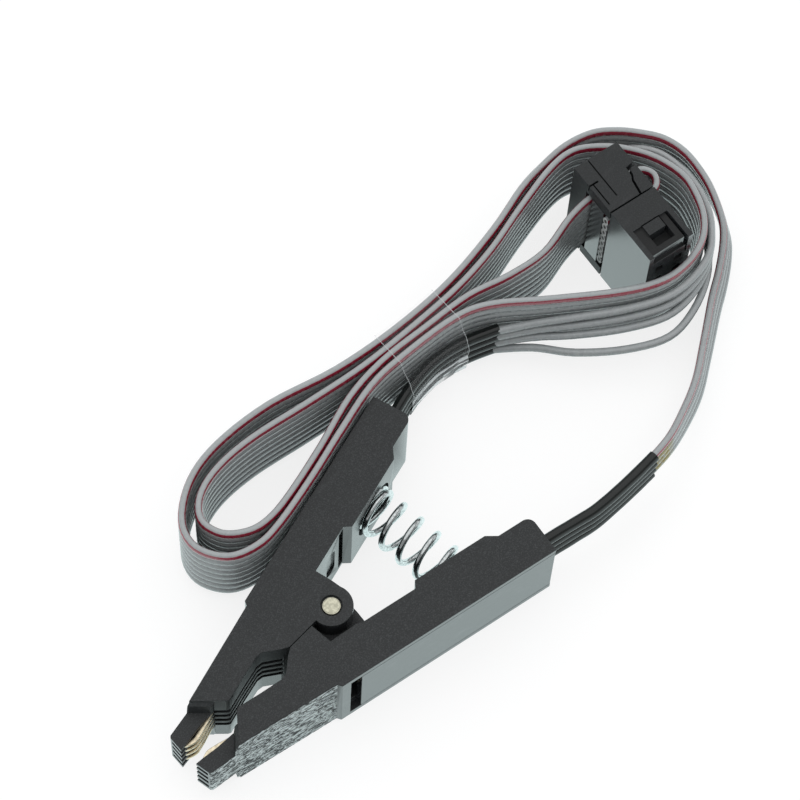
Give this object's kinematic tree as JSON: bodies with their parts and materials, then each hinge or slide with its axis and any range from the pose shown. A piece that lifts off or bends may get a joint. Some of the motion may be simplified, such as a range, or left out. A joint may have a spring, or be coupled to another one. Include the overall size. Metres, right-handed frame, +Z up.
{
  "type": "ic test clip",
  "caption": "Spring test clip that grips an eight-lead surface-mount chip, with two hinged arms, gold contacts and a taped, looped ribbon cable ending in a two-row socket.",
  "frame": {"origin": "on the axis of the hinge pin, at the surface that the clip lies on, which is the bottom centre of the clip's own box without its cable", "axes": "+X from the jaws towards the handles along the clip's centre line, +Y towards the left arm, +Z up along the hinge pin"},
  "size_m": [0.0881, 0.0349, 0.0147],
  "materials": {
    "arm_plastic": "fine matt black moulding",
    "cover_plastic": "smooth satin black moulding",
    "pin_nickel": "pale nickel-plated brass",
    "spring_zinc": "bright zinc-plated wire",
    "contact_gold": "gold-plated spring strip",
    "sleeve_black": "black heat-shrink",
    "ribbon_grey": "grey vinyl with one red edge",
    "tape_clear": "clear sticky tape",
    "socket_plastic": "black glass-filled moulding"
  },
  "bodies": {
    "left_side": {"left_arm": "arm_plastic", "left_cover": "cover_plastic", "hinge_pin": "pin_nickel", "spring": "spring_zinc", "left_contact_1": "contact_gold", "left_contact_2": "contact_gold", "left_contact_3": "contact_gold", "left_contact_4": "contact_gold", "left_sleeve_1": "sleeve_black", "left_sleeve_2": "sleeve_black", "left_sleeve_3": "sleeve_black", "left_sleeve_4": "sleeve_black", "ribbon_cable": "ribbon_grey", "left_wires": "ribbon_grey", "right_wires": "ribbon_grey", "cable_tape": "tape_clear", "socket_body": "socket_plastic", "socket_cover": "socket_plastic", "strain_relief": "socket_plastic", "socket_contacts": "contact_gold"},
    "right_side": {"right_arm": "arm_plastic", "right_cover": "cover_plastic", "right_contact_1": "contact_gold", "right_contact_2": "contact_gold", "right_contact_3": "contact_gold", "right_contact_4": "contact_gold", "right_sleeve_1": "sleeve_black", "right_sleeve_2": "sleeve_black", "right_sleeve_3": "sleeve_black", "right_sleeve_4": "sleeve_black"}
  },
  "joints": [
    {"name": "arm_hinge", "type": "hinge", "parent": "left_side", "child": "right_side", "pos_m": [0, 0, 0], "axis": [0, 0, 1], "range_deg": [0, 18], "stiffness_Nm_per_rad": 0.38, "springref_deg": -11.46, "deforming": ["spring"]}
  ]
}
